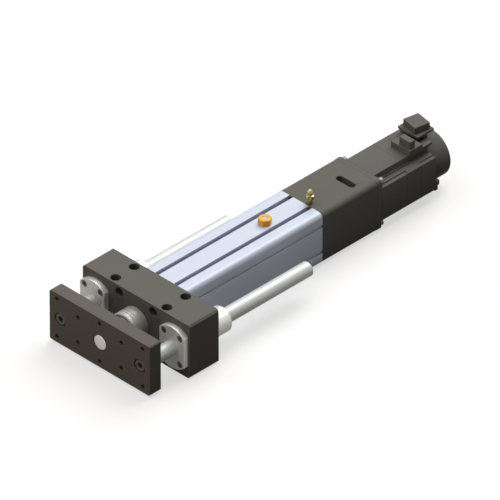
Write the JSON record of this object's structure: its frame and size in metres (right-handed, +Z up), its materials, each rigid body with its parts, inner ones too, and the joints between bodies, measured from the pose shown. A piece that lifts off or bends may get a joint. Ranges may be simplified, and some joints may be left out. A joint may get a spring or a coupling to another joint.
{
  "type": "electric_linear_actuator",
  "caption": "Electric linear actuator: servo motor, ball screw in a T-slotted extruded body, and a twin-rod guide unit carrying a tool plate on its nose.",
  "frame": {"origin": "centre of the guide block's four base bolt holes, on its bottom face", "axes": "+X across the two guide rods; +Y along the cylinder axis from the tool plate back to the motor; +Z up, away from the base face"},
  "size_m": [0.148, 0.4614, 0.0789],
  "materials": {
    "black_anodised": "satin black anodised",
    "motor_black": "satin black paint",
    "connector_black": "matte moulded",
    "clear_anodised": "pale blue-grey anodised extrusion",
    "machined_aluminium": "turned",
    "bush_nickel": "satin nickel",
    "hard_chrome": "ground and hard chromed",
    "screw_steel": "dark zinc",
    "bright_steel": "ground",
    "laminated_steel": "stacked sheet",
    "copper_wire": "lacquered wire",
    "plug_brass": "machined brass",
    "sintered_metal": "porous",
    "bearing_bronze": "sintered bronze",
    "seal_rubber": "matte",
    "guide_polymer": "natural polymer",
    "spider_red": "elastomer",
    "magnet_grey": "sintered",
    "board_green": "lacquered board",
    "code_glass": "clear"
  },
  "bodies": {
    "housing": {"guide_block": "black_anodised", "bush_left": "bush_nickel", "bush_right": "bush_nickel", "ball_sleeve_left": "guide_polymer", "ball_sleeve_right": "guide_polymer", "bush_end_rings_left": "bush_nickel", "bush_end_rings_right": "bush_nickel", "bush_screws": "screw_steel", "block_screws": "screw_steel", "nose_collar": "machined_aluminium", "rod_wiper": "seal_rubber", "nose_bush": "bearing_bronze", "front_damper": "seal_rubber", "profile": "clear_anodised", "breather_plug": "plug_brass", "breather_disc": "sintered_metal", "screw_bearings": "bright_steel", "bearing_cover": "machined_aluminium", "rear_damper": "seal_rubber", "bearing_housing": "black_anodised", "bearing_housing_screws": "screw_steel", "grease_nipple": "plug_brass", "coupling_housing": "black_anodised", "coupling_housing_screws": "screw_steel", "motor_front_bell": "motor_black", "motor_screws": "screw_steel", "motor_stator_frame": "motor_black", "motor_rear_bell": "motor_black", "stator_core": "laminated_steel", "stator_windings": "copper_wire", "motor_bearings": "bright_steel", "encoder_board": "board_green", "encoder_cover": "motor_black", "power_connector_flange": "motor_black", "power_connector": "connector_black", "signal_connector_base": "motor_black", "signal_connector": "connector_black"},
    "carriage": {"tool_plate": "black_anodised", "guide_rod_left": "hard_chrome", "guide_rod_right": "hard_chrome", "rod_screws": "screw_steel", "rod_end": "machined_aluminium", "thrust_tube": "hard_chrome", "nut_carrier": "machined_aluminium", "ball_nut": "bright_steel", "nut_lock_ring": "bright_steel", "wear_ring": "guide_polymer", "position_magnet": "magnet_grey"},
    "screw": {"ball_screw": "bright_steel", "screw_tip_ring": "guide_polymer", "screw_bearing_inners": "bright_steel", "bearing_lock_nut": "bright_steel", "screw_hub": "bright_steel", "coupling_spider": "spider_red", "motor_hub": "bright_steel", "motor_shaft": "bright_steel", "motor_bearing_inners": "bright_steel", "rotor": "magnet_grey", "encoder_disc": "code_glass"}
  },
  "joints": [
    {"name": "rod_slide", "type": "slide", "parent": "housing", "child": "carriage", "axis": [0, -1, 0], "range_m": [0, 0.1]},
    {"name": "screw_spin", "type": "hinge", "parent": "housing", "child": "screw", "pos_m": [0, 0.223, 0.0315], "axis": [0, 1, 0], "range_deg": [0, 3600]}
  ],
  "couplings": [
    {"joint": "screw_spin", "follows": "rod_slide", "rad_per_m": 628.32}
  ]
}
